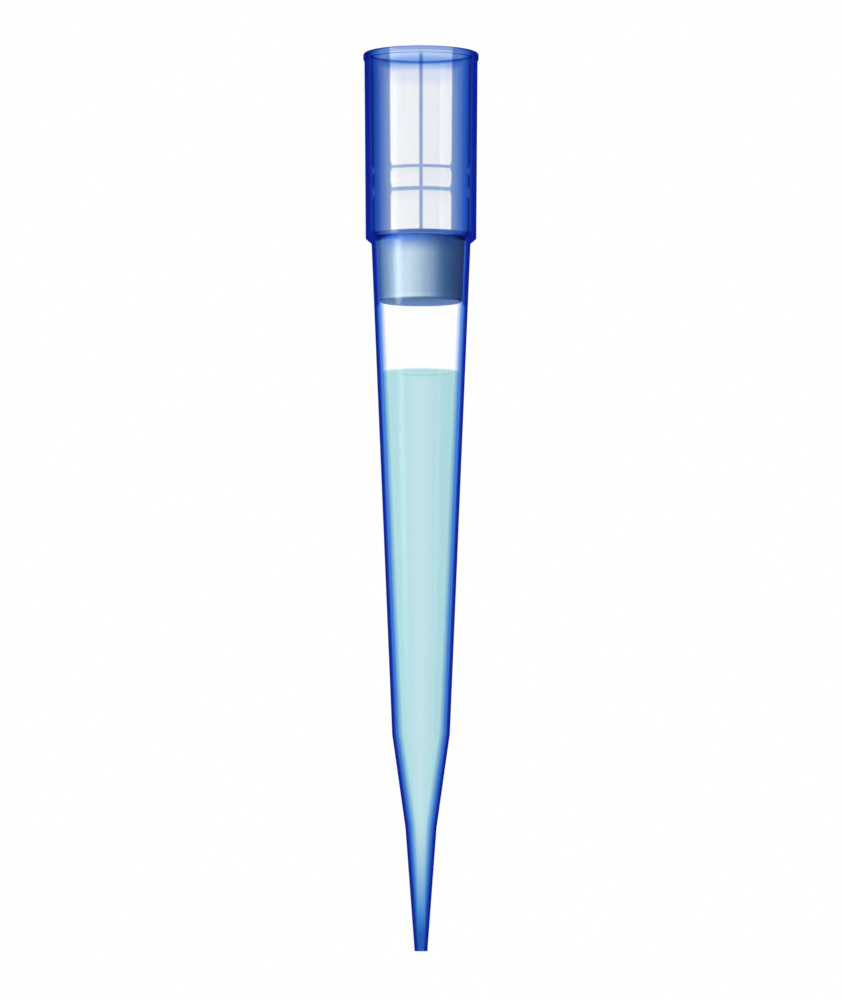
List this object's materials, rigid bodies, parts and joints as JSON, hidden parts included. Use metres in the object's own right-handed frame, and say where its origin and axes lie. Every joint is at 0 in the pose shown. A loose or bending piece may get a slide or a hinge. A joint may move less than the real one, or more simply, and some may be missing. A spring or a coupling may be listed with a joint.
{
  "type": "filtered pipette tip",
  "caption": "Tapered disposable tube with a wide collar that pushes onto a pipette's nozzle, a filter plug under the collar, and a drawn-up sample kept off the filter by an air gap.",
  "frame": {"origin": "on the tip's axis, at the middle of the upper sealing ring inside the collar, where the pipette's nozzle is gripped", "axes": "+Z along the tip's axis, out of the mouth towards the pipette; the point is at the lowest Z; one of the socket's guide ribs lies along -Y"},
  "size_m": [0.0104, 0.0104, 0.08],
  "materials": {
    "tinted_polypropylene": "clear blue moulded polypropylene, glossy",
    "porous_filter": "sintered porous polyethylene, matte and finely grained",
    "aqueous_sample": "clear pale turquoise liquid"
  },
  "bodies": {
    "root": {"tip_body": "tinted_polypropylene", "filter_plug": "porous_filter", "liquid_sample": "aqueous_sample"}
  },
  "joints": []
}
